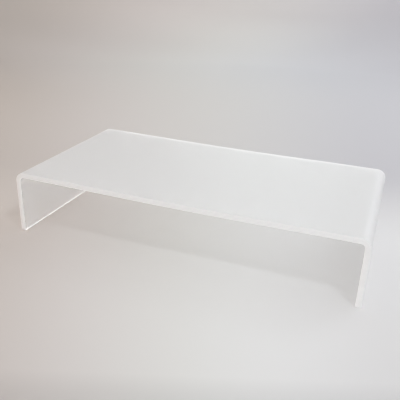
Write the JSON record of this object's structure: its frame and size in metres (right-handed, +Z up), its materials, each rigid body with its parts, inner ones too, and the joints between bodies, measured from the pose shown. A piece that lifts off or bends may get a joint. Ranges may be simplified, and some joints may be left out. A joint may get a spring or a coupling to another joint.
{
  "type": "monitor riser stand",
  "caption": "Low one-piece bridge stand in frosted acrylic: a flat rectangular platform with two straight legs bent down from its ends, on clear anti-slip pads.",
  "frame": {"origin": "centre of the footprint, on the desk surface that the pads stand on", "axes": "+X along the platform's width from the left leg to the right leg, -Y towards the front edge, +Z up"},
  "size_m": [0.53, 0.265, 0.1],
  "materials": {
    "frosted_acrylic": "satin",
    "clear_polyurethane": "satin"
  },
  "bodies": {
    "root": {"bent_sheet": "frosted_acrylic", "front_left_foot_pad": "clear_polyurethane", "front_right_foot_pad": "clear_polyurethane", "rear_left_foot_pad": "clear_polyurethane", "rear_right_foot_pad": "clear_polyurethane"}
  },
  "joints": []
}
